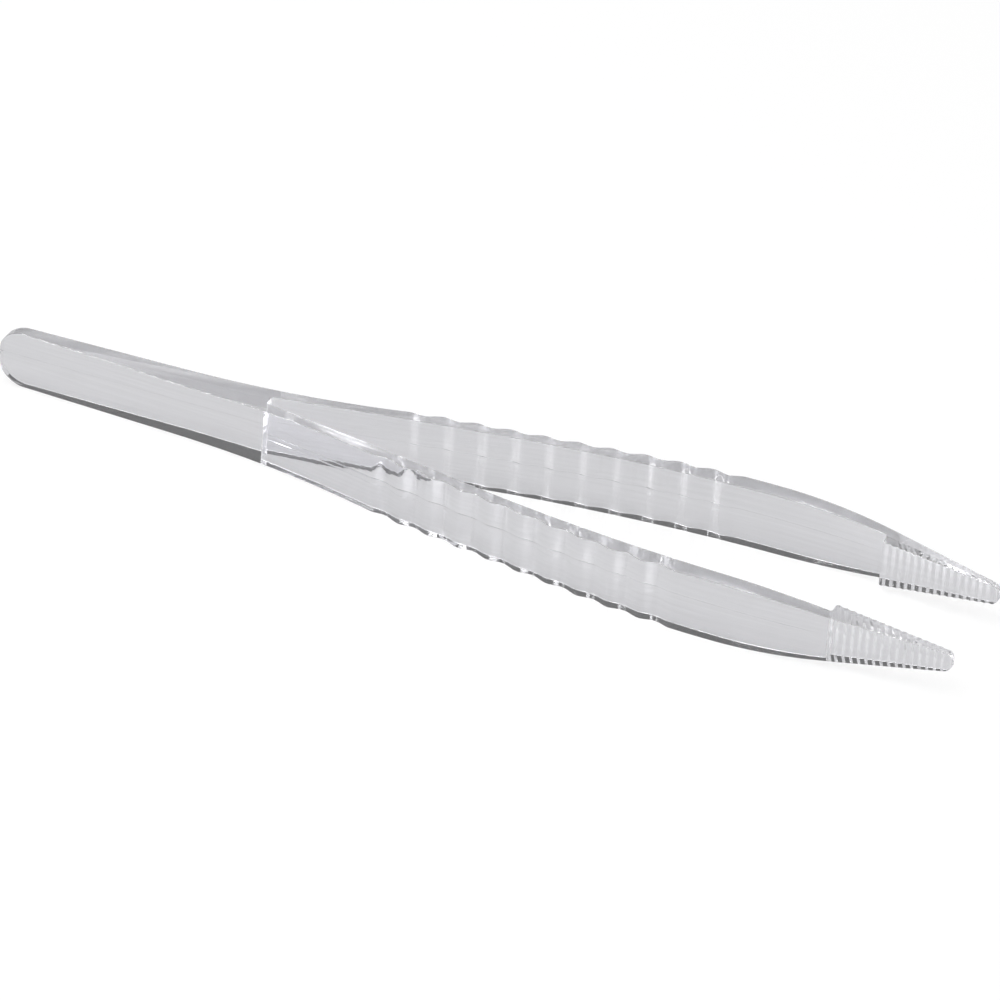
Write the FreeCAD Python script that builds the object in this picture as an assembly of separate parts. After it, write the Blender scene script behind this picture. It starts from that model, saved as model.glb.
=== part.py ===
"""Disposable plastic tweezers, moulded in clear plastic as one piece.

Sizes in millimetres.  While it is built, X runs from the heel to the tips, Y across the
two arms and Z across the blades, with the mould's parting plane at Z = 0.  At the end the
part is set down on its lower edges, with the origin under its middle.

The body is a plan outline, drawn once for the parting plane and once for each mould half,
where the draft makes it slimmer.  Walls join the outlines, and a side outline trims the
stack to the blades' width.
"""

import FreeCAD, Part
import math
import os

from FreeCAD import Vector

# Whole piece
OVERALL_LENGTH = 127.0
DRAFT_ANGLE = 1.0

# Width of the blades, seen from the side
HEEL_WIDTH = 7.6
WAIST_WIDTH = 7.2
WAIST_X = 26.0
GRIP_WIDTH = 8.06
GRIP_WIDTH_X = 54.0
TAPER_LENGTH = 22.5
TIP_WIDTH = 2.3
HEEL_ROUNDING = 3.6
WAIST_BEND_RADIUS = 80.0
GRIP_BEND_RADIUS = 80.0
TAPER_BEND_RADIUS = 100.0
TIP_ROUNDING = 1.2

# Outer face of one arm, seen from above: straight runs joined by large arcs
HEEL_THICKNESS = 1.44
HEEL_NOSE_LENGTH = 0.8
HANDLE_ANGLE = 2.6
SPRING_X = 40.3
SPRING_ANGLE = 13.9
SPRING_RADIUS = 117.0
BLADE_X = 54.7
BLADE_ANGLE = 9.1
BLADE_RADIUS = 62.0
BOW_TO_TIP = 30.0
TIP_ANGLE = -8.3
BOW_RADIUS = 113.0

# Inner face of one arm
CROTCH_X = 36.0
CROTCH_GAP = 1.3
INNER_ANGLE = 10.1
INNER_BOW_TO_TIP = 36.6
INNER_TIP_ANGLE = -3.5
INNER_BOW_RADIUS = 227.0

# Finger grip: a row of shallow hollows across the outer face
WAVE_COUNT = 10
WAVE_START_X = 51.9
WAVE_PITCH = 4.125
WAVE_DEPTH = 0.47

# Serrated pad on the inner face of each tip
PAD_LENGTH = 15.0
PAD_CORNER = 0.45
TIP_THICKNESS = 1.03
TIP_NOSE_LENGTH = 0.5
FIRST_TOOTH = 0.45
TOOTH_PITCH = 0.92
TOOTH_DEPTH = 0.15

# Places that follow from the sizes above
PAD_START_X = OVERALL_LENGTH - PAD_LENGTH
NOSE_X = OVERALL_LENGTH - TIP_NOSE_LENGTH


def bent_run(x, start_height, start_angle, bends):
    """Height at x of a straight run that bends in large arcs.

    Each bend is its place, the angle of the run after it and its radius.  The arc touches
    the runs before and after the bend.
    """
    height = start_height
    place = 0.0
    angle = math.radians(start_angle)
    for bend_x, bend_angle, radius in bends:
        next_angle = math.radians(bend_angle)
        corner = height + math.tan(angle) * (bend_x - place)
        turn = next_angle - angle
        reach = radius * math.tan(abs(turn) / 2)
        arc_start = bend_x - reach * math.cos(angle)
        arc_end = bend_x + reach * math.cos(next_angle)
        if x <= arc_start:
            return height + math.tan(angle) * (x - place)
        if x < arc_end:
            side = 1.0 if turn > 0 else -1.0
            centre_x = arc_start - side * radius * math.sin(angle)
            centre_y = corner - reach * math.sin(angle) + side * radius * math.cos(angle)
            return centre_y - side * math.sqrt(radius ** 2 - (x - centre_x) ** 2)
        height = corner
        place = bend_x
        angle = next_angle
    return height + math.tan(angle) * (x - place)


def outer_face(x):
    """Distance of the outer face from the middle plane, without the waves."""
    bends = (
        (SPRING_X, SPRING_ANGLE, SPRING_RADIUS),
        (BLADE_X, BLADE_ANGLE, BLADE_RADIUS),
        (OVERALL_LENGTH - BOW_TO_TIP, TIP_ANGLE, BOW_RADIUS),
    )
    return bent_run(x, HEEL_THICKNESS / 2, HANDLE_ANGLE, bends)


def wavy_face(x):
    """Outer face inside the finger grip: each wave dips as a cosine and ends level."""
    turn = 2 * math.pi * (x - WAVE_START_X) / WAVE_PITCH
    return outer_face(x) - WAVE_DEPTH * (1 - math.cos(turn)) / 2


def inner_face(x):
    """Distance of the inner face from the middle plane."""
    bow_x = OVERALL_LENGTH - INNER_BOW_TO_TIP
    bends = ((bow_x - CROTCH_X, INNER_TIP_ANGLE, INNER_BOW_RADIUS),)
    return bent_run(x - CROTCH_X, CROTCH_GAP / 2, INNER_ANGLE, bends)


def curve(face, start_x, end_x, steps, inset):
    """Smooth edge along a face from start to end, moved sideways by the inset."""
    def point(x):
        return Vector(x, face(x) + inset, 0)

    def direction(x):
        small = 0.001
        way = 1.0 if end_x > start_x else -1.0
        return (point(x + small) - point(x - small)) * (way / (2 * small))

    stations = [start_x + (end_x - start_x) * i / steps for i in range(steps + 1)]
    spline = Part.BSplineCurve()
    spline.interpolate(
        Points=[point(x) for x in stations],
        InitialTangent=direction(start_x),
        FinalTangent=direction(end_x),
    )
    return spline.toShape()


def line(start, end):
    """Straight edge between two points."""
    return Part.makeLine(start, end)


def arc(start, middle, end):
    """Round edge through three points."""
    return Part.Arc(start, middle, end).toShape()


def rounded_outline(corners):
    """Closed wire through corners of x, z and radius, each corner rounded by an arc."""
    count = len(corners)
    points = [Vector(x, 0, z) for x, z, radius in corners]
    edges = []
    ends = []
    for i, (x, z, radius) in enumerate(corners):
        here = points[i]
        back = points[i - 1] - here
        ahead = points[(i + 1) % count] - here
        half_angle = back.getAngle(ahead) / 2
        limit = 0.49 * min(back.Length, ahead.Length)
        reach = min(radius / math.tan(half_angle), limit)
        radius = reach * math.tan(half_angle)
        back.normalize()
        ahead.normalize()
        inward = back + ahead
        inward.normalize()
        start = here + back * reach
        end = here + ahead * reach
        middle = here + inward * (radius / math.sin(half_angle) - radius)
        edges.append(arc(start, middle, end))
        ends.append((start, end))
    for i in range(count):
        edges.insert(2 * i + 1, line(ends[i][1], ends[(i + 1) % count][0]))
    return Part.Wire(edges)


def side_trim():
    """Solid with the piece's outline seen from the side, wide enough to cover both arms."""
    upper = [
        (0, HEEL_WIDTH / 2, HEEL_ROUNDING),
        (WAIST_X, WAIST_WIDTH / 2, WAIST_BEND_RADIUS),
        (GRIP_WIDTH_X, GRIP_WIDTH / 2, GRIP_BEND_RADIUS),
        (OVERALL_LENGTH - TAPER_LENGTH, GRIP_WIDTH / 2, TAPER_BEND_RADIUS),
        (OVERALL_LENGTH, TIP_WIDTH / 2, TIP_ROUNDING),
    ]
    lower = [(x, -z, radius) for x, z, radius in reversed(upper)]
    reach = outer_face(OVERALL_LENGTH - BOW_TO_TIP) + 5
    sheet = Part.Face(rounded_outline(upper + lower))
    sheet.translate(Vector(0, -reach, 0))
    return sheet.extrude(Vector(0, 2 * reach, 0))


def outer_edges(inset):
    """Edges of one arm's outer side from the heel to the tip, the waves one by one."""
    wave_end = WAVE_START_X + WAVE_COUNT * WAVE_PITCH
    edges = [curve(outer_face, HEEL_NOSE_LENGTH + inset, WAVE_START_X, 16, -inset)]
    for i in range(WAVE_COUNT):
        start = WAVE_START_X + i * WAVE_PITCH
        edges.append(curve(wavy_face, start, start + WAVE_PITCH, 8, -inset))
    edges.append(curve(outer_face, wave_end, NOSE_X, 12, -inset))
    return edges


def pad_edges(inset):
    """Edges of one pad: the tip's round nose, the teeth, a round corner and the step.

    As many teeth are cut as fit between the pad's corner and the nose.
    """
    ridge = outer_face(NOSE_X) - TIP_THICKNESS + inset
    outer_end = Vector(NOSE_X, outer_face(NOSE_X) - inset, 0)
    inner_end = Vector(NOSE_X, ridge, 0)
    front = Vector(OVERALL_LENGTH - inset, (outer_end.y + inner_end.y) / 2, 0)
    edges = [arc(outer_end, front, inner_end)]

    start_x = PAD_START_X + inset
    first_crest = PAD_START_X + FIRST_TOOTH
    tooth_count = int((NOSE_X - first_crest) / TOOTH_PITCH)
    here = inner_end
    for i in range(tooth_count, 0, -1):
        crest = Vector(first_crest + i * TOOTH_PITCH, ridge, 0)
        valley = crest + Vector(-TOOTH_PITCH / 2, TOOTH_DEPTH, 0)
        edges.append(line(here, crest))
        edges.append(line(crest, valley))
        here = valley
    last_crest = Vector(first_crest, ridge, 0)
    edges.append(line(here, last_crest))

    size = min(PAD_CORNER, first_crest - start_x - 0.05)
    corner_start = Vector(start_x + size, ridge, 0)
    corner_end = Vector(start_x, ridge + size, 0)
    corner_middle = Vector(start_x, ridge, 0) + Vector(1, 1, 0) * (size * (1 - math.sqrt(0.5)))
    step_end = Vector(start_x, inner_face(start_x) + inset, 0)
    edges.append(line(last_crest, corner_start))
    edges.append(arc(corner_start, corner_middle, corner_end))
    edges.append(line(corner_end, step_end))
    return edges


def outline(inset, height):
    """All edges of the plan outline at one height, in order round the piece."""
    crotch_end = CROTCH_X + CROTCH_GAP / 2
    half = outer_edges(inset) + pad_edges(inset)
    half.append(curve(inner_face, PAD_START_X + inset, crotch_end, 20, inset))

    gap_side = inner_face(crotch_end) + inset
    crotch = arc(
        Vector(crotch_end, gap_side, 0),
        Vector(CROTCH_X - inset, 0, 0),
        Vector(crotch_end, -gap_side, 0),
    )
    nose_x = HEEL_NOSE_LENGTH + inset
    nose_side = outer_face(nose_x) - inset
    heel = arc(
        Vector(nose_x, -nose_side, 0),
        Vector(inset, 0, 0),
        Vector(nose_x, nose_side, 0),
    )
    other_half = [edge.mirror(Vector(0, 0, 0), Vector(0, 1, 0)) for edge in reversed(half)]
    edges = half + [crotch] + other_half + [heel]
    return [edge.translated(Vector(0, 0, height)) for edge in edges]


def drafted_stack():
    """Solid between the parting plane's outline and the slimmer ones above and below."""
    height = GRIP_WIDTH / 2 + 1
    inset = height * math.tan(math.radians(DRAFT_ANGLE))
    middle = outline(0, 0)
    faces = []
    for level in (height, -height):
        end = outline(inset, level)
        for near, far in zip(middle, end):
            faces.append(Part.makeRuledSurface(near, far))
        faces.append(Part.Face(Part.Wire(end)))
    shell = Part.makeShell(faces)
    shell.sewShape()
    solid = Part.makeSolid(shell)
    if solid.Volume < 0:
        solid.reverse()
    return solid


def build_tweezers():
    """The finished piece, set down on its lower edges."""
    body = drafted_stack().common(side_trim())
    body = body.Solids[0]
    body.translate(Vector(-OVERALL_LENGTH / 2, 0, GRIP_WIDTH / 2))
    return body


def main():
    """Builds the part and writes its file."""
    os.makedirs("parts", exist_ok=True)
    build_tweezers().exportStep("parts/tweezers_body.step")


if __name__ == "__main__":
    main()
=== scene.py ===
"""Looks of the disposable clear plastic tweezers, lying on their lower edges on a white table.

Shapes are worked out in millimetres in the moulder's frame: X from the heel to the tips, Y across
the arms, Z from the parting plane.  They are written to the meshes in metres, in the frame of the
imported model.
"""

import logging
import math
from dataclasses import dataclass
from enum import Enum

import bpy
import numpy as np
from mathutils import Matrix, Vector


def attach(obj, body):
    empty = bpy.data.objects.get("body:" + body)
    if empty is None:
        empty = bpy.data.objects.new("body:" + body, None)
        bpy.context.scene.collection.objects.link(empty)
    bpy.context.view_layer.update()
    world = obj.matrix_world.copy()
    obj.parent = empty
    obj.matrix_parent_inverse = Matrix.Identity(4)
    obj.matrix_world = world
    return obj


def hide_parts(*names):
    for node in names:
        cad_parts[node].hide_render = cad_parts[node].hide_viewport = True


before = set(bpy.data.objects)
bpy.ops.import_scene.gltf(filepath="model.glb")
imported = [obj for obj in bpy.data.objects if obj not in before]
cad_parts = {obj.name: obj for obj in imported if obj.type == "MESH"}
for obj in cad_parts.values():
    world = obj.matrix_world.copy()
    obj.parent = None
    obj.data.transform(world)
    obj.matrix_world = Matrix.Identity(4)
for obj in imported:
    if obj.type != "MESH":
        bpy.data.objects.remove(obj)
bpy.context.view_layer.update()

log = logging.getLogger("tweezers")

NODE = "tweezers_body"
MILLIMETRE = 0.001
CLEAR_BOUNCES = 32
GLOSSY_BOUNCES = 16


def grey(share: float) -> tuple[float, float, float, float]:
    """Opaque colour with the same share of red, green and blue.

    Args:
        share: Nought for black, one for white.

    Returns:
        The colour with its alpha.
    """
    return share, share, share, 1.0


def unit(vectors: np.ndarray) -> np.ndarray:
    """Vectors divided by their own length.

    Args:
        vectors: Array whose last axis holds the components.

    Returns:
        Array of the same shape, each vector one long.
    """
    return vectors / np.linalg.norm(vectors, axis=-1, keepdims=True)


@dataclass(frozen=True)
class Bend:
    """A turn between two straight runs, as an arc that touches both.

    Attributes:
        place: Where the runs would meet, along X.
        angle: Direction of the run after the bend, in degrees.
        radius: Radius of the arc.
    """

    place: float
    angle: float
    radius: float


@dataclass(frozen=True)
class BentRun:
    """Line made of straight runs and large arcs, given as a height over X.

    Attributes:
        start_x: Where the first run starts.
        start_height: Height at the start.
        start_angle: Direction of the first run, in degrees.
        bends: The turns in order.
    """

    start_x: float
    start_height: float
    start_angle: float
    bends: tuple[Bend, ...]

    def height(self, x: np.ndarray) -> np.ndarray:
        """Height of the line at each x.

        A run rises by the tangent of its angle.  An arc's height is its centre's height plus or
        minus the square root of the radius squared less the distance to the centre squared.

        Args:
            x: Places along X.

        Returns:
            Heights, one for each place.
        """
        x = np.asarray(x, dtype=float)
        place = self.start_x
        corner = self.start_height
        angle = math.radians(self.start_angle)
        height = corner + math.tan(angle) * (x - place)
        for bend in self.bends:
            after = math.radians(bend.angle)
            corner = corner + math.tan(angle) * (bend.place - place)
            turn = after - angle
            side = math.copysign(1.0, turn)
            reach = bend.radius * math.tan(abs(turn) / 2)
            arc_start = bend.place - reach * math.cos(angle)
            arc_end = bend.place + reach * math.cos(after)
            centre_x = arc_start - side * bend.radius * math.sin(angle)
            centre_y = corner - reach * math.sin(angle) + side * bend.radius * math.cos(angle)
            square = np.clip(bend.radius ** 2 - (x - centre_x) ** 2, 0.0, None)
            on_arc = centre_y - side * np.sqrt(square)
            on_run = corner + math.tan(after) * (x - bend.place)
            height = np.where(x > arc_start, np.where(x < arc_end, on_arc, on_run), height)
            place = bend.place
            angle = after
        return height


def turn_points(centre: tuple[float, float], radius: float, start: float, end: float,
                steps: int) -> np.ndarray:
    """Points of an arc: the centre plus the radius times cosine and sine of the angle.

    Args:
        centre: Centre of the arc.
        radius: Radius of the arc.
        start: First angle in degrees, counted from +X towards +Y.
        end: Last angle in degrees.
        steps: Number of pieces.

    Returns:
        Array of steps + 1 points with x and y.
    """
    angles = np.radians(np.linspace(start, end, steps + 1))
    x = centre[0] + radius * np.cos(angles)
    y = centre[1] + radius * np.sin(angles)
    return np.stack([x, y], axis=1)


@dataclass(frozen=True)
class Plan:
    """One arm's outline seen from above, from the heel to the tip.

    Attributes:
        length: Overall length.
        heel_thickness: Thickness of the handle at the heel.
        outer_bends: Bends of the outer face.
        handle_angle: Direction of the handle's outer face, in degrees.
        crotch_x: Where the two arms part.
        crotch_gap: Gap between the arms there.
        crotch_corner: Radius of the corners at the bottom of the gap.
        inner_angle: Direction of the inner face after the crotch, in degrees.
        inner_bend: Bend of the inner face.
        wave_count: Number of waves in the finger grip.
        wave_start: Where the first wave starts.
        wave_pitch: Length of a wave.
        wave_depth: Depth of a wave.
        pad_length: Length of the thicker pad at the tip.
        pad_corner: Radius of the corner at the pad's step.
        step_hollow: Radius of the hollow behind the step.
        tip_thickness: Thickness of the arm at the front end of the teeth.
        nose_length: Length in front of the teeth.
        first_tooth: Distance of the first crest from the step.
        tooth_pitch: Distance between two crests.
        tooth_depth: Depth of a groove.
        tooth_steps: Steps of the outline in a tooth.
        spacing: Distance between the points of the inner face.
        bowl_across: How far ahead of the crotch's corner the outer point across from it lies.
        hollow_across: How far behind the pad's step the point across from the hollow lies.
        corner_across: How far ahead of the step the point across from the first teeth lies.
        nose_across: How far behind the nose's centre the point across from it lies.
        last_tooth_room: Least distance between the last groove's points and the nose's centre.
    """

    length: float = 127.0
    heel_thickness: float = 1.44
    outer_bends: tuple[Bend, ...] = (
        Bend(40.3, 13.9, 117.0), Bend(54.7, 9.1, 62.0), Bend(97.0, -8.8, 113.0))
    handle_angle: float = 2.6
    crotch_x: float = 36.0
    crotch_gap: float = 1.3
    crotch_corner: float = 0.15
    inner_angle: float = 10.1
    inner_bend: Bend = Bend(90.4, -3.5, 227.0)
    wave_count: int = 10
    wave_start: float = 51.9
    wave_pitch: float = 4.125
    wave_depth: float = 0.47
    pad_length: float = 15.0
    pad_corner: float = 0.45
    step_hollow: float = 0.3
    tip_thickness: float = 1.03
    nose_length: float = 0.5
    first_tooth: float = 0.45
    tooth_pitch: float = 0.92
    tooth_depth: float = 0.15
    tooth_steps: int = 20
    spacing: float = 0.2
    bowl_across: float = 0.7
    hollow_across: float = 0.8
    corner_across: float = 0.9
    nose_across: float = 0.02
    last_tooth_room: float = 0.03

    @property
    def pad_start(self) -> float:
        """Where the pad's step stands."""
        return self.length - self.pad_length

    @property
    def ridge(self) -> float:
        """Distance of the pad's crests from the middle plane."""
        return float(self.smooth_outer(self.length - self.nose_length)) - self.tip_thickness

    def smooth_outer(self, x: np.ndarray) -> np.ndarray:
        """Outer face without the waves: height of the bent run at x."""
        return BentRun(0.0, self.heel_thickness / 2, self.handle_angle, self.outer_bends).height(x)

    def outer(self, x: np.ndarray) -> np.ndarray:
        """Outer face with the finger grip.

        Inside the grip the face dips by half the depth times one less the cosine of the turn.

        Args:
            x: Places along X.

        Returns:
            Distances from the middle plane.
        """
        turns = (np.asarray(x) - self.wave_start) / self.wave_pitch
        waved = (turns > 0) & (turns < self.wave_count)
        dip = self.wave_depth * (1 - np.cos(2 * math.pi * turns)) / 2
        return self.smooth_outer(x) - np.where(waved, dip, 0.0)

    def inner(self, x: np.ndarray) -> np.ndarray:
        """Inner face between the crotch and the pad: height of the bent run at x."""
        run = BentRun(self.crotch_x, self.crotch_gap / 2, self.inner_angle, (self.inner_bend,))
        return run.height(x)

    def pad(self, x: np.ndarray) -> np.ndarray:
        """Serrated face: the crests' height plus a groove in the middle between two crests.

        The groove's depth falls evenly from its middle to the two crests beside it.

        Args:
            x: Places along X.

        Returns:
            Distances from the middle plane.
        """
        turns = (np.asarray(x) - self.pad_start - self.first_tooth) / self.tooth_pitch
        count = int((self.pad_length - self.nose_length - self.first_tooth) / self.tooth_pitch)
        cut = (turns > 0) & (turns < count)
        side = np.abs(turns - np.floor(turns) - 0.5) * 2
        return self.ridge + np.where(cut, self.tooth_depth * (1 - side), 0.0)

    def inner_line(self) -> tuple[np.ndarray, np.ndarray]:
        """Inner side from the bottom of the crotch to the front of the tip.

        The flat bottom of the crotch turns into the inner face, a small hollow joins it to the
        pad's step, a round corner leads to the teeth, and a quarter of the nose ends the line.
        The corner's centre lies its radius from the bottom and from the tilted face.

        Returns:
            Points, and for each the place on the outer side that lies across from it.
        """
        tilt = math.radians(self.inner_angle)
        radius = self.crotch_corner
        rise = radius * math.tan(tilt) - radius / math.cos(tilt)
        centre = (self.crotch_x + radius, self.crotch_gap / 2 + rise)
        bottom = np.stack([np.full(4, self.crotch_x), np.linspace(0.0, centre[1], 5)[:-1]], axis=1)
        bowl_corner = turn_points(centre, radius, 180.0, 90.0 + self.inner_angle, 8)
        bowl = np.concatenate([bottom, bowl_corner])
        hollow_y = float(self.inner(self.pad_start - self.step_hollow))
        face_x = np.linspace(bowl[-1, 0], self.pad_start - self.step_hollow,
                             round((self.pad_start - bowl[-1, 0]) / self.spacing))
        face = np.stack([face_x, self.inner(face_x)], axis=1)
        hollow_centre = (self.pad_start - self.step_hollow, hollow_y - self.step_hollow)
        hollow = turn_points(hollow_centre, self.step_hollow, 90.0, 0.0, 6)
        corner_centre = (self.pad_start + self.pad_corner, self.ridge + self.pad_corner)
        corner = turn_points(corner_centre, self.pad_corner, 180.0, 270.0, 8)
        nose_centre, nose = self.nose()
        last_tooth = nose_centre[0] - self.last_tooth_room
        teeth_x = np.arange(corner[-1, 0], last_tooth, self.tooth_pitch / self.tooth_steps)
        teeth_x = np.append(teeth_x, nose_centre[0])
        teeth = np.stack([teeth_x, self.pad(teeth_x)], axis=1)
        quarter = turn_points(nose_centre, nose, -90.0, 0.0, 10)
        points = np.concatenate([bowl, face[1:], hollow[1:], corner, teeth[1:], quarter[1:]])
        walked = np.concatenate([[0.0], np.cumsum(np.linalg.norm(np.diff(points, axis=0), axis=1))])
        keys = np.cumsum([0, len(bowl) - 1, len(face) - 3, len(hollow) + len(corner) + 1])
        across = [self.crotch_x, bowl[-1, 0] + self.bowl_across,
                  self.pad_start - self.hollow_across, self.pad_start + self.corner_across]
        last = len(points) - len(quarter)
        places = np.interp(walked, np.append(walked[keys], walked[last]),
                           np.append(across, nose_centre[0] - self.nose_across))
        return points, places[:last + 1]

    def nose(self) -> tuple[tuple[float, float], float]:
        """Round nose that touches the outer face, the pad's plane and the length.

        Its radius is the height between the two faces at the length, divided by one plus the
        inverse cosine of the outer face's tilt less its tangent.

        Returns:
            Centre and radius.
        """
        tilt = math.radians(abs(self.outer_bends[-1].angle))
        height = float(self.smooth_outer(self.length)) - self.ridge
        radius = height / (1 + 1 / math.cos(tilt) - math.tan(tilt))
        return (self.length - radius, self.ridge + radius), radius

    def outer_line(self, places: np.ndarray) -> np.ndarray:
        """Outer side from the front of the heel to the front of the tip.

        Args:
            places: Places along X from the crotch to the nose.

        Returns:
            Points: a round heel, the plain handle, the given places and a quarter of the nose.
        """
        radius = float(self.smooth_outer(self.heel_thickness / 2))
        heel = turn_points((radius, 0.0), radius, 180.0, 90.0 + self.handle_angle, 12)
        plain_x = np.linspace(heel[-1, 0], self.crotch_x, 120)
        x = np.concatenate([plain_x[1:-1], places])
        face = np.stack([x, self.outer(x)], axis=1)
        centre, nose = self.nose()
        tilt = 90.0 + self.outer_bends[-1].angle
        quarter = turn_points(centre, nose, tilt, 0.0, 10)
        return np.concatenate([heel, face[:-1], quarter])


@dataclass(frozen=True)
class SideView:
    """Half width of the blades over X, with the rounded heel and tips.

    Attributes:
        length: Overall length.
        heel_width: Width at the heel.
        waist_x: Where the handle is narrowest.
        waist_width: Width there.
        grip_x: Where the full width is reached.
        grip_width: Full width.
        taper_length: Length of the taper to the tips.
        tip_width: Width to which the taper runs at the overall length.
        heel_rounding: Radius of the rounded heel.
        waist_radius: Radius of the bend at the waist.
        grip_radius: Radius of the bend where the full width is reached.
        taper_radius: Radius of the bend where the taper starts.
        tip_rounding: Radius of the rounded tips.
    """

    length: float = 127.0
    heel_width: float = 7.6
    waist_x: float = 26.0
    waist_width: float = 7.2
    grip_x: float = 54.0
    grip_width: float = 8.06
    taper_length: float = 22.5
    tip_width: float = 2.3
    heel_rounding: float = 3.6
    waist_radius: float = 80.0
    grip_radius: float = 80.0
    taper_radius: float = 100.0
    tip_rounding: float = 1.2

    def half_width(self, x: np.ndarray) -> np.ndarray:
        """Height of the upper narrow face over the parting plane.

        Straight runs with large arcs, and at each end the arc that touches the last run and the
        piece's length.

        Args:
            x: Places along X.

        Returns:
            Half widths.
        """
        corners = ((0.0, self.heel_width / 2), (self.waist_x, self.waist_width / 2),
                   (self.grip_x, self.grip_width / 2),
                   (self.length - self.taper_length, self.grip_width / 2),
                   (self.length, self.tip_width / 2))
        radii = (self.waist_radius, self.grip_radius, self.taper_radius)
        angles = [math.degrees(math.atan2(b[1] - a[1], b[0] - a[0]))
                  for a, b in zip(corners, corners[1:])]
        bends = tuple(Bend(corner[0], angle, radius)
                      for corner, angle, radius in zip(corners[1:], angles[1:], radii))
        run = BentRun(0.0, corners[0][1], angles[0], bends)
        x = np.clip(x, 0.0, self.length)
        height = run.height(x)
        ends = ((self.heel_rounding, self.heel_rounding, angles[0], -1.0),
                (self.length - self.tip_rounding, self.tip_rounding, angles[-1], 1.0))
        for centre_x, radius, angle, side in ends:
            tilt = math.radians(angle)
            centre_z = float(run.height(centre_x)) - radius / math.cos(tilt)
            touch = centre_x - radius * math.sin(tilt)
            square = np.clip(radius ** 2 - (x - centre_x) ** 2, 0.0, None)
            height = np.where(side * (x - touch) > 0, centre_z + np.sqrt(square), height)
        return height

    def slope(self, x: np.ndarray) -> np.ndarray:
        """Rise of the half width over X, from the difference across a hundredth millimetre."""
        small = 0.005
        low = np.clip(x - small, 0.0, self.length)
        high = np.clip(x + small, 0.0, self.length)
        return (self.half_width(high) - self.half_width(low)) / np.maximum(high - low, small)


@dataclass(frozen=True)
class EdgeProfile:
    """Section of a wall from the parting plane to the narrow face.

    Attributes:
        draft: Lean of the wall, in degrees.
        rounding: Radius of the upper edge.
        lower_rounding: Radius of the lower edge.
        seam_height: How far the parting line stands proud.
        seam_fade: Length before the pads in which the parting line fades out.
        seam_reach: Half the width of the parting line.
        seam_share: Largest share of the wall that this half width may take.
        wall_share: Smallest share of the half width that the wall keeps below the rounding.
        seam_steps: Steps of the parting line.
        wall_steps: Steps of the wall.
        round_steps: Steps of the rounding.
    """

    draft: float = 1.0
    rounding: float = 0.07
    lower_rounding: float = 0.04
    seam_height: float = 0.016
    seam_fade: float = 3.0
    seam_reach: float = 0.09
    seam_share: float = 0.3
    wall_share: float = 0.3
    seam_steps: int = 4
    wall_steps: int = 3
    round_steps: int = 5


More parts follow.
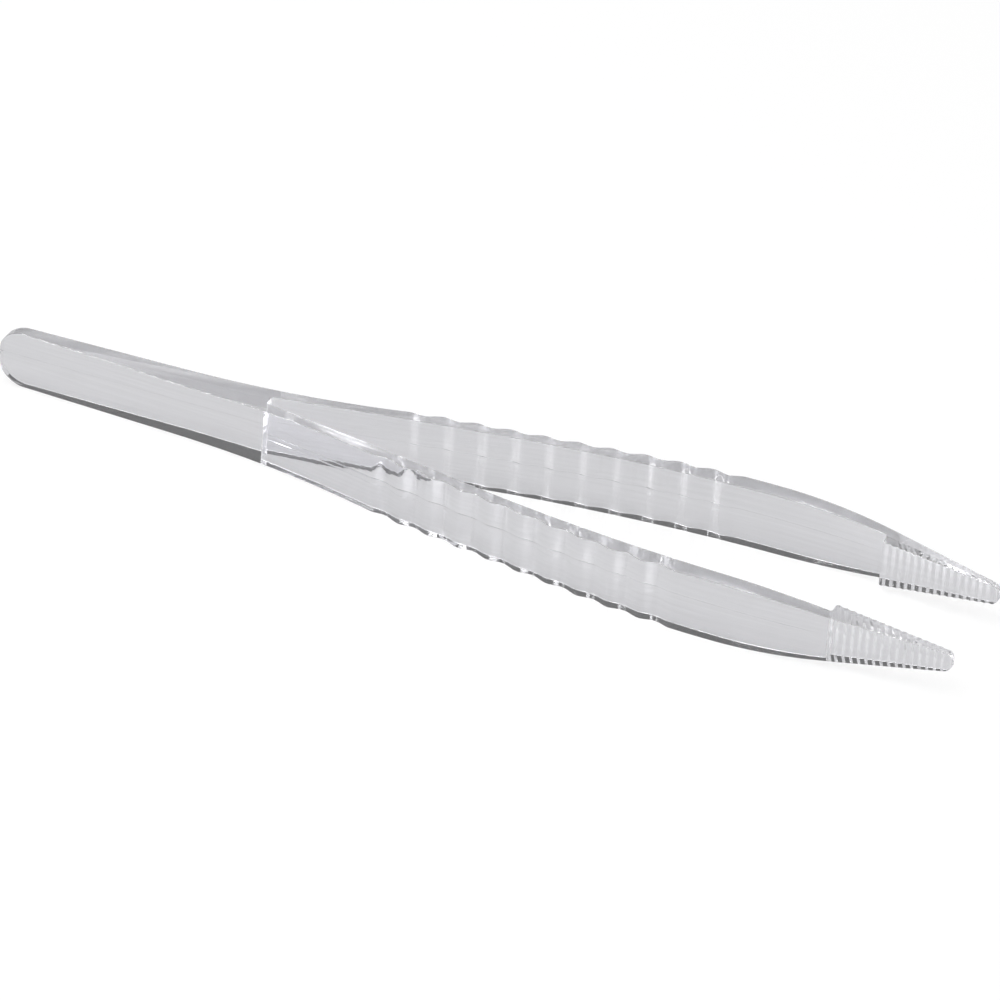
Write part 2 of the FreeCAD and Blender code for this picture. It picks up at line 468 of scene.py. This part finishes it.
class TweezersBody:
    """The whole moulded piece as one closed skin."""

    def __init__(self, plan: Plan, side: SideView, edge: EdgeProfile) -> None:
        """Keeps the sizes.

        Args:
            plan: Outline from above.
            side: Outline from the side.
            edge: Section of the walls.
        """
        self.plan = plan
        self.side = side
        self.edge = edge

    def loop(self) -> tuple[np.ndarray, int, int]:
        """Closed outline: heel, outer side, tip, inner side, crotch and the mirrored way back.

        Returns:
            Points in order, number of steps on an outer side, number on an inner side.
        """
        inner, places = self.plan.inner_line()
        outer = self.plan.outer_line(places)
        mirror = np.array([1.0, -1.0])
        points = np.concatenate([
            outer, inner[::-1][1:], (inner * mirror)[1:], (outer * mirror)[::-1][1:-1]])
        return points, len(outer) - 1, len(inner) - 1

    def normals(self, points: np.ndarray) -> tuple[np.ndarray, np.ndarray]:
        """Outward directions in plan.

        The true one is the chord between the neighbours, turned a quarter.  The one along which
        an inset moves a point is the same, but straight across on the teeth, so that teeth keep
        their shape.

        Args:
            points: Closed outline.

        Returns:
            True directions and moving directions.
        """
        chord = unit(np.roll(points, -1, axis=0) - np.roll(points, 1, axis=0))
        true = np.stack([-chord[:, 1], chord[:, 0]], axis=1)
        plan = self.plan
        (nose_x, _), _ = plan.nose()
        first = plan.pad_start + plan.pad_corner
        on_teeth = (points[:, 0] > first) & (points[:, 0] < nose_x)
        margin = 0.01
        on_teeth &= np.abs(points[:, 1]) < plan.ridge + plan.tooth_depth + margin
        across = np.stack([np.zeros(len(points)), -np.sign(points[:, 1])], axis=1)
        return true, np.where(on_teeth[:, None], across, true)

    def rings(self, points: np.ndarray, rounding: float) -> tuple[np.ndarray, np.ndarray]:
        """Rings of the skin from the parting plane up to the rounded edge.

        The wall's inset grows with the height times the tangent of the draft.  The parting line
        stands proud by half its height times one plus the cosine of the share of its half width,
        and its own height fades out before the pads.  On the edge the inset adds the radius times
        one less the cosine, and the height is the half width less the radius times one less the
        sine.

        Args:
            points: Closed outline.
            rounding: Radius of the edge.

        Returns:
            Places and directions, each as ring by point by xyz.
        """
        edge = self.edge
        true, moving = self.normals(points)
        turn = np.radians(np.linspace(0.0, 90.0, edge.round_steps + 1))
        lean = math.tan(math.radians(edge.draft))
        half = self.side.half_width(points[:, 0])
        room = np.clip(half - rounding, edge.wall_share * half, None)
        shares = np.linspace(0.0, 1.0, edge.wall_steps + 1)[1:-1]
        seam = np.minimum(edge.seam_reach, edge.seam_share * room)
        places = []
        directions = []
        flat = np.concatenate([true, np.full((len(points), 1), math.sin(lean))], axis=1)
        before_pad = np.clip((self.plan.pad_start - points[:, 0]) / edge.seam_fade, 0.0, 1.0)
        seam_height = edge.seam_height * before_pad
        for share in np.linspace(0.0, 1.0, edge.seam_steps + 1)[:-1]:
            proud = seam_height * (1 + math.cos(math.pi * share)) / 2
            rise = seam_height * math.pi / 2 * math.sin(math.pi * share) / seam
            moved = points + moving * (proud - seam * share * lean)[:, None]
            places.append(np.column_stack([moved, seam * share]))
            directions.append(np.column_stack([true, rise + share * math.sin(lean)]))
        for height in [seam] + [room * share for share in shares]:
            moved = points - moving * (height * lean)[:, None]
            places.append(np.column_stack([moved, height]))
            directions.append(flat)
        for angle in turn:
            inset = room * lean + rounding * (1 - math.cos(angle))
            moved = points - moving * inset[:, None]
            top = self.side.half_width(moved[:, 0])
            fall = rounding * (1 - math.sin(angle))
            height = top * (1 - fall / np.maximum(top, 2 * rounding))
            places.append(np.column_stack([moved, height]))
            up = self.upward(moved[:, 0])
            directions.append(flat * math.cos(angle) + up * math.sin(angle))
        return np.array(places), unit(np.array(directions))

    def upward(self, x: np.ndarray) -> np.ndarray:
        """Direction square to the narrow face: one up and the slope backwards, at unit length."""
        slope = self.side.slope(x)
        return unit(np.stack([-slope, np.zeros_like(slope), np.ones_like(slope)], axis=-1))

    def lid(self, ring: np.ndarray, outer_steps: int, inner_steps: int,
            cross_steps: int = 4) -> tuple[np.ndarray, np.ndarray, np.ndarray]:
        """Points of the upper narrow face, in rows across it.

        Each row goes from the outer side to the inner side, or to the middle line in the handle,
        by equal shares, and its height is the half width there.

        Args:
            ring: Top ring of the skin.
            outer_steps: Steps on an outer side.
            inner_steps: Steps on an inner side.
            cross_steps: Steps across a row.

        Returns:
            New points, and for each half the grid of point numbers, row by column, in which
            numbers under the ring's length are ring points and others follow the ring.
        """
        count = len(ring)
        crotch = outer_steps - inner_steps
        rows = np.arange(outer_steps + 1)
        inner_of = {1: outer_steps + inner_steps - (rows - crotch),
                    -1: outer_steps + inner_steps + (rows - crotch)}
        outer_of = {1: rows, -1: (count - rows) % count}
        middle_x = np.linspace(ring[0, 0], ring[outer_steps + inner_steps, 0], crotch + 1)
        middle = np.stack([middle_x, np.zeros_like(middle_x)], axis=1)
        points = [middle[1:-1]]
        middle_ids = count + np.arange(crotch - 1)
        total = count + crotch - 1
        grids = []
        shares = np.linspace(0.0, 1.0, cross_steps + 1)[1:-1]
        for half in (1, -1):
            ends = np.empty(outer_steps + 1, dtype=int)
            ends[0] = 0
            ends[1:crotch] = middle_ids
            ends[crotch:] = inner_of[half][crotch:]
            starts = outer_of[half]
            far = np.empty((outer_steps + 1, 2))
            far[:crotch + 1] = middle
            far[crotch:] = ring[ends[crotch:], :2]
            near = ring[starts, :2]
            fresh = near[1:-1, None] + (far - near)[1:-1, None] * shares[None, :, None]
            points.append(fresh.reshape(-1, 2))
            grid = np.empty((outer_steps + 1, cross_steps + 1), dtype=int)
            grid[:, 0] = starts
            grid[:, -1] = ends
            grid[0, :] = 0
            grid[-1, :] = starts[-1]
            grid[1:-1, 1:-1] = total + np.arange(fresh.shape[0] * fresh.shape[1]).reshape(
                fresh.shape[:2])
            total += fresh.shape[0] * fresh.shape[1]
            grids.append(grid)
        return np.concatenate(points), grids[0], grids[1]

    def build(self) -> bpy.types.Object:
        """Builds the skin.

        The rings and the lid below the parting plane are made like the upper ones, with Z
        reversed.  Walls are quads between neighbouring rings, lids are quads between neighbouring
        rows with a fan of triangles at each end.  The offset puts the middle of the length at the
        origin and the lower narrow face on the ground.

        Returns:
            The finished object.
        """
        points, outer_steps, inner_steps = self.loop()
        count = len(points)
        flip = np.array([1.0, 1.0, -1.0])
        upper, upper_ways = self.rings(points, self.edge.rounding)
        lower, lower_ways = self.rings(points, self.edge.lower_rounding)
        rings = np.concatenate([lower[1:][::-1] * flip, upper])
        ways = np.concatenate([lower_ways[1:][::-1] * flip, upper_ways])
        lid_places = []
        lid_ways = []
        for top, sense in ((upper[-1], 1.0), (lower[-1], -1.0)):
            fresh, left, right = self.lid(top, outer_steps, inner_steps)
            height = sense * self.side.half_width(fresh[:, 0])
            lid_places.append(np.column_stack([fresh, height]))
            lid_ways.append(self.upward(fresh[:, 0]) * np.array([1.0, 1.0, sense]))
        vertices = np.concatenate([rings.reshape(-1, 3)] + lid_places)
        normals = np.concatenate([ways.reshape(-1, 3)] + lid_ways)

        numbers = np.arange(len(rings) * count).reshape(len(rings), count)
        ahead = np.roll(numbers, -1, axis=1)
        walls = np.stack([numbers[:-1], numbers[1:], ahead[1:], ahead[:-1]], axis=-1).reshape(-1, 4)
        top_base = len(rings) * count
        quads = [walls]
        triangles = []
        lids = ((numbers[-1], top_base, 1), (numbers[0], top_base + len(fresh), -1))
        for ring_numbers, base, sense in lids:
            table = np.concatenate([ring_numbers, base + np.arange(len(fresh))])
            for grid, half in ((left, 1), (right, -1)):
                grid = table[grid]
                faces = np.stack([grid[:-1, :-1], grid[:-1, 1:], grid[1:, 1:], grid[1:, :-1]],
                                 axis=-1)
                if sense * half < 0:
                    faces = faces[..., ::-1]
                quads.append(faces[1:-1].reshape(-1, 4))
                for fan in (faces[0], faces[-1]):
                    triangles.append(self.fan(fan))
        quads = np.concatenate(quads)
        triangles = np.concatenate(triangles)
        log.info("tweezers: %d points, %d quads, %d triangles",
                 len(vertices), len(quads), len(triangles))
        offset = np.array([-self.plan.length / 2, 0.0, self.side.grip_width / 2])
        mesh = bpy.data.meshes.new("clear_tweezers")
        mesh.from_pydata(((vertices + offset) * MILLIMETRE).tolist(), [],
                         quads.tolist() + triangles.tolist())
        mesh.shade_smooth()
        mesh.normals_split_custom_set_from_vertices(unit(normals).tolist())
        mesh.update()
        piece = bpy.data.objects.new("clear_tweezers", mesh)
        bpy.context.scene.collection.objects.link(piece)
        return piece

    @staticmethod
    def fan(faces: np.ndarray) -> np.ndarray:
        """Triangles of faces in which one side has shrunk to a point.

        Args:
            faces: Quads as four point numbers, of which two are the same.

        Returns:
            The triangles with the repeated number left out.
        """
        result = []
        for face in faces:
            kept = [number for i, number in enumerate(face) if number != face[i - 1]]
            if len(kept) == 3:
                result.append(kept)
        return np.array(result)


@dataclass(frozen=True)
class ClearPlastic:
    """Clear moulded polystyrene with the fine lengthwise polish marks of its mould.

    Attributes:
        tint: Colour that light keeps on its way through.
        mark_tint: The same in the marks.
        refraction: Index of refraction.
        roughness: Roughness of the polish.
        mark_scale: Marks per metre along, across and up the piece.
        mark_detail: Finer layers of noise in the marks.
        mark_distortion: How far the marks waver.
        mark_band: Noise values between which the tint turns into the marks' tint.
        mark_depth: Depth of the marks in metres.
    """

    tint: tuple[float, float, float] = (0.96, 0.96, 0.99)
    mark_tint: tuple[float, float, float] = (0.89, 0.89, 0.92)
    refraction: float = 1.59
    roughness: float = 0.02
    mark_scale: tuple[float, float, float] = (45.0, 45.0, 2200.0)
    mark_detail: float = 3.0
    mark_distortion: float = 0.3
    mark_band: tuple[float, float] = (0.3, 0.7)
    mark_depth: float = 0.000004

    def marks(self, tree: bpy.types.NodeTree) -> bpy.types.NodeSocket:
        """Streaks along the piece: noise at the place times the marks per metre.

        Args:
            tree: Node tree that gets the nodes.

        Returns:
            The socket with the noise, about one half on average.
        """
        place = tree.nodes.new("ShaderNodeTexCoord")
        stretch = tree.nodes.new("ShaderNodeMapping")
        stretch.inputs["Scale"].default_value = self.mark_scale
        noise = tree.nodes.new("ShaderNodeTexNoise")
        noise.inputs["Scale"].default_value = 1.0
        noise.inputs["Detail"].default_value = self.mark_detail
        noise.inputs["Distortion"].default_value = self.mark_distortion
        tree.links.new(place.outputs["Object"], stretch.inputs["Vector"])
        tree.links.new(stretch.outputs["Vector"], noise.inputs["Vector"])
        return noise.outputs["Fac"]

    def make(self) -> bpy.types.Material:
        """Builds the material.

        Returns:
            A clear, glossy plastic.
        """
        material = bpy.data.materials.new("clear_polystyrene")
        material.use_nodes = True
        tree = material.node_tree
        shader = tree.nodes["Principled BSDF"]
        shader.inputs["Roughness"].default_value = self.roughness
        shader.inputs["IOR"].default_value = self.refraction
        shader.inputs["Transmission Weight"].default_value = 1.0
        marks = self.marks(tree)
        shade = tree.nodes.new("ShaderNodeValToRGB")
        tints = (self.tint, self.mark_tint)
        for stop, place, colour in zip(shade.color_ramp.elements, self.mark_band, tints):
            stop.position = place
            stop.color = (*colour, 1.0)
        bump = tree.nodes.new("ShaderNodeBump")
        bump.inputs["Distance"].default_value = self.mark_depth
        tree.links.new(marks, shade.inputs["Fac"])
        tree.links.new(marks, bump.inputs["Height"])
        tree.links.new(shade.outputs["Color"], shader.inputs["Base Color"])
        tree.links.new(bump.outputs["Normal"], shader.inputs["Normal"])
        return material


class Ray(Enum):
    """Kinds of ray for which the table and the room have a strength of their own."""

    CAMERA = "Is Camera Ray"
    GLOSSY = "Is Glossy Ray"
    TRANSMISSION = "Is Transmission Ray"


def background_rays(tree: bpy.types.NodeTree, plain: float, direct: float,
                    through: float) -> bpy.types.NodeSocket:
    """Strength of the background for each kind of ray.

    The value is the plain one, plus what the direct view adds for camera rays, or what the view
    through or off the plastic adds for the larger of glossy and transmission.

    Args:
        tree: Node tree that gets the nodes.
        plain: Strength for all other rays.
        direct: Strength for camera rays.
        through: Strength for glossy and transmission rays.

    Returns:
        The socket with the value.
    """
    path = tree.nodes.new("ShaderNodeLightPath")
    largest = tree.nodes.new("ShaderNodeMath")
    largest.operation = "MAXIMUM"
    tree.links.new(path.outputs[Ray.GLOSSY.value], largest.inputs[0])
    tree.links.new(path.outputs[Ray.TRANSMISSION.value], largest.inputs[1])
    value = None
    sources = ((largest.outputs[0], through), (path.outputs[Ray.CAMERA.value], direct))
    for source, strength in sources:
        added = tree.nodes.new("ShaderNodeMath")
        added.operation = "MULTIPLY_ADD"
        added.inputs[1].default_value = strength - plain
        added.inputs[2].default_value = plain
        tree.links.new(source, added.inputs[0])
        if value is not None:
            tree.links.new(value, added.inputs[2])
        value = added.outputs[0]
    return value


@dataclass(frozen=True)
class Studio:
    """White table, soft lamp, dark flag, bright screens and the surrounding light.

    Distances are in metres, but for the table's drop in millimetres.  Each turn is an azimuth
    counted from +Y towards +X and each rise an elevation, both in degrees.

    Attributes:
        table_reach: Half the side of the table top.
        table_drop: How far the table top lies under the piece.
        table_white: Share of light that the table scatters.
        table_lift: Light of its own that the camera sees on the table.
        table_lift_through: The same, seen through or off the plastic.
        table_gloss: Strength of the table's gloss.
        table_roughness: Roughness of that gloss.
        room_light: Strength of the light from all round.
        room_through: The same, seen through or off the plastic.
        lamp_place: Where the lamp hangs, along X and Y.
        lamp_height: Height of the lamp.
        lamp_tilt: Turn of the lamp round X and Y.
        lamp_size: Side of the lamp.
        lamp_power: Power of the lamp in watts.
        screen_points: Points of a screen along its turn and its rise.
        flag_low: Lowest rise of the dark flag.
        flag_high: Highest rise of the flag.
        flag_middle: Turn of the flag's middle.
        flag_half_turn: Turn from its middle to its sides.
        flag_distance: Distance of the flag from the origin.
        flag_shade: Share of light that the flag scatters.
        cloth_shade: Share of light that a bright screen scatters.
        window_distance: Distance of the bright screens from the origin.
        window_turn: Turns between which the window hangs, which gives the waves their glints.
        window_rise: Rises between which it hangs.
        window_strength: Light that it gives.
        sky_turn: The same for the high window, which the table's gloss throws on the near arm.
        sky_rise: Its rises.
        sky_strength: Its light.
        card_turn: The same for the white card, which gives the light bars of waves and pads.
        card_rise: Its rises.
        card_strength: Its light.
    """

    table_reach: float = 6.0
    table_drop: float = 0.06
    table_white: float = 0.3
    table_lift: float = 0.72
    table_lift_through: float = 0.38
    table_gloss: float = 0.5
    table_roughness: float = 0.22
    room_light: float = 0.6
    room_through: float = 0.66
    lamp_place: tuple[float, float] = (-0.25, -0.3)
    lamp_height: float = 0.9
    lamp_tilt: tuple[float, float] = (-18.0, -15.0)
    lamp_size: float = 0.9
    lamp_power: float = 6.0
    screen_points: tuple[int, int] = (25, 9)
    flag_low: float = 1.0
    flag_high: float = 46.0
    flag_middle: float = -7.0
    flag_half_turn: float = 37.0
    flag_distance: float = 1.4
    flag_shade: float = 0.34
    cloth_shade: float = 0.8
    window_distance: float = 1.3
    window_turn: tuple[float, float] = (-122.0, -112.0)
    window_rise: tuple[float, float] = (24.0, 46.0)
    window_strength: float = 3.0
    sky_turn: tuple[float, float] = (-146.0, -129.0)
    sky_rise: tuple[float, float] = (36.5, 60.0)
    sky_strength: float = 20.0
    card_turn: tuple[float, float] = (-54.0, -34.5)
    card_rise: tuple[float, float] = (36.5, 50.0)
    card_strength: float = 7.5

    def table(self) -> None:
        """Lays the white table top under the piece."""
        reach = self.table_reach
        down = -self.table_drop * MILLIMETRE
        corners = [(-reach, -reach, down), (reach, -reach, down), (reach, reach, down),
                   (-reach, reach, down)]
        mesh = bpy.data.meshes.new("table_top")
        mesh.from_pydata(corners, [], [(0, 1, 2, 3)])
        top = bpy.data.objects.new("table_top", mesh)
        bpy.context.scene.collection.objects.link(top)
        material = bpy.data.materials.new("white_table")
        material.use_nodes = True
        tree = material.node_tree
        shader = tree.nodes["Principled BSDF"]
        shader.inputs["Base Color"].default_value = grey(self.table_white)
        shader.inputs["Roughness"].default_value = self.table_roughness
        shader.inputs["Specular IOR Level"].default_value = self.table_gloss
        shader.inputs["Emission Color"].default_value = grey(1.0)
        lift = background_rays(tree, 0.0, self.table_lift, self.table_lift_through)
        tree.links.new(lift, shader.inputs["Emission Strength"])
        mesh.materials.append(material)

    def room(self) -> None:
        """Soft light from all round, white to the camera and a little darker to the plastic."""
        world = bpy.data.worlds.new("room")
        world.use_nodes = True
        tree = world.node_tree
        back = tree.nodes["Background"]
        back.inputs["Color"].default_value = grey(1.0)
        strength = background_rays(tree, self.room_light, 1.0, self.room_through)
        tree.links.new(strength, back.inputs["Strength"])
        bpy.context.scene.world = world

    def lamp(self) -> None:
        """Hangs a wide soft lamp over the table."""
        light = bpy.data.lights.new("soft_lamp", "AREA")
        light.shape = "SQUARE"
        light.size = self.lamp_size
        light.energy = self.lamp_power
        lamp = bpy.data.objects.new("soft_lamp", light)
        lamp.location = (*self.lamp_place, self.lamp_height)
        lamp.rotation_euler = (*(math.radians(turn) for turn in self.lamp_tilt), 0.0)
        bpy.context.scene.collection.objects.link(lamp)

    def screen(self, name: str, distance: float, turn: tuple[float, float],
               rise: tuple[float, float]) -> bpy.types.Object:
        """Curved screen round the piece that only the plastic and the table's gloss see.

        Its points lie on a sphere: the distance times the cosines and sines of rise and turn.

        Args:
            name: Name of the object.
            distance: Distance from the origin in metres.
            turn: First and last azimuth in degrees, counted from +Y towards +X.
            rise: Lowest and highest elevation in degrees.

        Returns:
            The screen, which casts no shadow and gives matt surfaces no light.
        """
        turn_count, rise_count = self.screen_points
        turns, rises = np.meshgrid(np.radians(np.linspace(*turn, turn_count)),
                                   np.radians(np.linspace(*rise, rise_count)))
        points = distance * np.stack(
            [np.cos(rises) * np.sin(turns), np.cos(rises) * np.cos(turns), np.sin(rises)], axis=-1)
        numbers = np.arange(turns.size).reshape(turns.shape)
        faces = np.stack([numbers[:-1, :-1], numbers[:-1, 1:], numbers[1:, 1:], numbers[1:, :-1]],
                         axis=-1)
        mesh = bpy.data.meshes.new(name)
        mesh.from_pydata(points.reshape(-1, 3).tolist(), [], faces.reshape(-1, 4).tolist())
        screen = bpy.data.objects.new(name, mesh)
        bpy.context.scene.collection.objects.link(screen)
        screen.visible_camera = False
        screen.visible_shadow = False
        screen.visible_diffuse = False
        return screen

    def flag(self) -> None:
        """Stands a dark screen behind the piece, which gives the clear edges their dark lines."""
        turn = (self.flag_middle - self.flag_half_turn, self.flag_middle + self.flag_half_turn)
        screen = self.screen("dark_flag", self.flag_distance, turn, (self.flag_low, self.flag_high))
        material = bpy.data.materials.new("dark_cloth")
        material.use_nodes = True
        shader = material.node_tree.nodes["Principled BSDF"]
        shader.inputs["Base Color"].default_value = grey(self.flag_shade)
        shader.inputs["Roughness"].default_value = 1.0
        shader.inputs["Specular IOR Level"].default_value = 0.0
        screen.data.materials.append(material)

    def window(self, name: str, turn: tuple[float, float], rise: tuple[float, float],
               strength: float) -> None:
        """Hangs a bright screen, which gives the clear plastic its light lines and glints.

        Args:
            name: Name of the object.
            turn: First and last azimuth in degrees, counted from +Y towards +X.
            rise: Lowest and highest elevation in degrees.
            strength: Light that the screen gives.
        """
        screen = self.screen(name, self.window_distance, turn, rise)
        material = bpy.data.materials.new("bright_cloth")
        material.use_nodes = True
        shader = material.node_tree.nodes["Principled BSDF"]
        shader.inputs["Base Color"].default_value = grey(self.cloth_shade)
        shader.inputs["Roughness"].default_value = 1.0
        shader.inputs["Emission Color"].default_value = grey(1.0)
        shader.inputs["Emission Strength"].default_value = strength
        screen.data.materials.append(material)


@dataclass(frozen=True)
class PhotoCamera:
    """Camera at the photograph's viewing angle.

    Attributes:
        azimuth: Turn round Z, in degrees; nought looks along +Y.
        elevation: Height angle in degrees.
        roll: Turn of the image in degrees.
        distance: From the aimed point, in metres.
        pixels: Focal length in pixels of the 1000 pixel image.
        aim_pixel: Where the aimed point lies in that image.
        image_side: Side of that image in pixels.
        sensor: Width of the sensor in millimetres.
        aim: The aimed point, in metres.
        clip: Nearest and farthest distance that the camera sees, in metres.
    """

    azimuth: float = 21.6
    elevation: float = 33.1
    roll: float = 3.7
    distance: float = 0.866
    pixels: float = 7276.0
    aim_pixel: tuple[float, float] = (477.9, 486.3)
    image_side: float = 1000.0
    sensor: float = 36.0
    aim: tuple[float, float, float] = (0.0, 0.0, 0.00403)
    clip: tuple[float, float] = (0.01, 50.0)

    def make(self) -> bpy.types.Object:
        """Sets up the camera.

        The way back to the camera has the sine and cosine of the azimuth times the cosine of the
        elevation as its level parts, and the sine of the elevation as its height.  The image's
        right and up directions are the level and the upright one, turned by the roll.

        Returns:
            The camera's object.
        """
        azimuth = math.radians(self.azimuth)
        elevation = math.radians(self.elevation)
        roll = math.radians(self.roll)
        back = Vector((math.sin(azimuth) * math.cos(elevation),
                       -math.cos(azimuth) * math.cos(elevation), math.sin(elevation)))
        level = Vector((math.cos(azimuth), math.sin(azimuth), 0.0))
        upward = back.cross(level)
        right = math.cos(roll) * level + math.sin(roll) * upward
        up = math.cos(roll) * upward - math.sin(roll) * level
        data = bpy.data.cameras.new("photo_camera")
        data.sensor_fit = "HORIZONTAL"
        data.sensor_width = self.sensor
        data.lens = self.sensor * self.pixels / self.image_side
        data.shift_x = 0.5 - self.aim_pixel[0] / self.image_side
        data.shift_y = self.aim_pixel[1] / self.image_side - 0.5
        data.clip_start, data.clip_end = self.clip
        camera = bpy.data.objects.new("photo_camera", data)
        place = Vector(self.aim) + back * self.distance
        turn = Matrix((right, up, back)).transposed().to_4x4()
        camera.matrix_world = Matrix.Translation(place) @ turn
        bpy.context.scene.collection.objects.link(camera)
        bpy.context.scene.camera = camera
        return camera


def main() -> None:
    """Builds the piece, the studio and the camera, and reports each."""
    logging.basicConfig(level=logging.INFO, format="%(message)s")
    scene = bpy.context.scene
    scene.view_settings.view_transform = "Standard"
    scene.cycles.max_bounces = CLEAR_BOUNCES
    scene.cycles.transmission_bounces = CLEAR_BOUNCES
    scene.cycles.glossy_bounces = GLOSSY_BOUNCES
    body = TweezersBody(Plan(), SideView(), EdgeProfile()).build()
    body.data.materials.append(ClearPlastic().make())
    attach(body, "root")
    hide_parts(NODE)
    log.info("clear_tweezers stands for %s", NODE)
    studio = Studio()
    studio.table()
    studio.room()
    studio.lamp()
    studio.flag()
    studio.window("bright_window", studio.window_turn, studio.window_rise, studio.window_strength)
    studio.window("high_window", studio.sky_turn, studio.sky_rise, studio.sky_strength)
    studio.window("white_card", studio.card_turn, studio.card_rise, studio.card_strength)
    PhotoCamera().make()
    log.info("studio and camera are ready")


if __name__ == "__main__":
    main()
